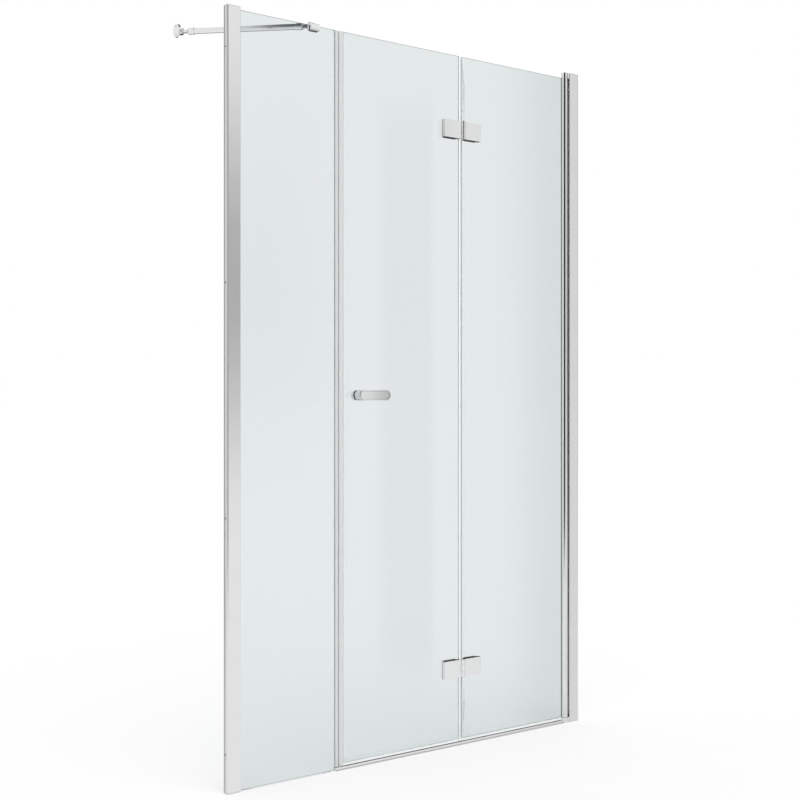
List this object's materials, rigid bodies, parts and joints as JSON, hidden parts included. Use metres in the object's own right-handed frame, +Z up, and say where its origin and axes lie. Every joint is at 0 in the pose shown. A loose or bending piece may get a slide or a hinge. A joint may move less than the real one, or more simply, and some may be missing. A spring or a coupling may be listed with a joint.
{
  "type": "bifold shower door",
  "caption": "Frameless bifold shower door with a fixed glass side panel, a stay bar, glass-to-glass hinges and a round hinge post in chrome.",
  "frame": {"origin": "on the tray, halfway between the two walls, in the middle plane of the glass", "axes": "+X along the front from the fixed panel to the hinge post, +Y into the shower, +Z up"},
  "size_m": [1.208, 0.3165, 1.9525],
  "materials": {
    "clear_glass": "clear, very slightly grey-green",
    "clear_strip": "clear soft strip",
    "soft_rubber": "matte grey",
    "nylon": "off-white",
    "magnet": "white magnet strip",
    "cap_plastic": "pale grey, smooth",
    "steel": "bright",
    "raw_aluminium": "satin anodised",
    "bright_aluminium": "polished, chrome look",
    "chrome": "polished"
  },
  "bodies": {
    "frame": {"left_wall_channel": "raw_aluminium", "left_cover_profile": "bright_aluminium", "left_end_caps": "cap_plastic", "left_lock_screws": "steel", "fixed_glass": "clear_glass", "fixed_glass_gasket": "soft_rubber", "setting_blocks": "clear_strip", "strike_strip": "clear_strip", "strike_magnet": "magnet", "stay_clamp": "chrome", "stay_clamp_lining": "soft_rubber", "stay_grub_screw": "steel", "stay_swivels": "chrome", "stay_swivel_screws": "steel", "stay_bar": "chrome", "stay_wall_flange": "chrome", "right_wall_channel": "raw_aluminium", "right_cover_profile": "bright_aluminium", "right_end_caps": "cap_plastic", "right_lock_screws": "steel", "post_strip": "clear_strip", "upper_pivot_block": "chrome", "lower_pivot_block": "chrome", "pivot_pins": "steel", "threshold_rail": "bright_aluminium"},
    "wall_leaf": {"hinge_post": "bright_aluminium", "post_bushes": "nylon", "wall_leaf_glass": "clear_glass", "wall_leaf_gasket": "soft_rubber", "wall_leaf_sweep": "clear_strip", "fold_strip": "clear_strip", "upper_wall_hinge_plate": "chrome", "lower_wall_hinge_plate": "chrome", "upper_wall_inner_plate": "chrome", "lower_wall_inner_plate": "chrome", "wall_hinge_pads": "soft_rubber", "wall_hinge_sleeves": "nylon", "wall_hinge_screws": "steel", "upper_hinge_pin": "steel", "lower_hinge_pin": "steel"},
    "handle_leaf": {"handle_leaf_glass": "clear_glass", "closing_strip": "clear_strip", "closing_magnet": "magnet", "handle_leaf_sweep": "clear_strip", "upper_handle_hinge_plate": "chrome", "lower_handle_hinge_plate": "chrome", "upper_handle_inner_plate": "chrome", "lower_handle_inner_plate": "chrome", "handle_hinge_pads": "soft_rubber", "handle_hinge_sleeves": "nylon", "handle_hinge_screws": "steel", "handle_boss": "chrome", "handle_plate": "chrome", "handle_washers": "clear_strip", "handle_sleeve": "nylon", "inner_knob": "chrome", "handle_bolt": "steel"}
  },
  "joints": [
    {"name": "post_hinge", "type": "hinge", "parent": "frame", "child": "wall_leaf", "pos_m": [0.5531, 0, 0.966], "axis": [0, 0, 1], "range_deg": [-90, 0]},
    {"name": "fold_hinge", "type": "hinge", "parent": "wall_leaf", "child": "handle_leaf", "pos_m": [0.1445, -0.015, 0.966], "axis": [0, 0, 1], "range_deg": [0, 170]}
  ]
}
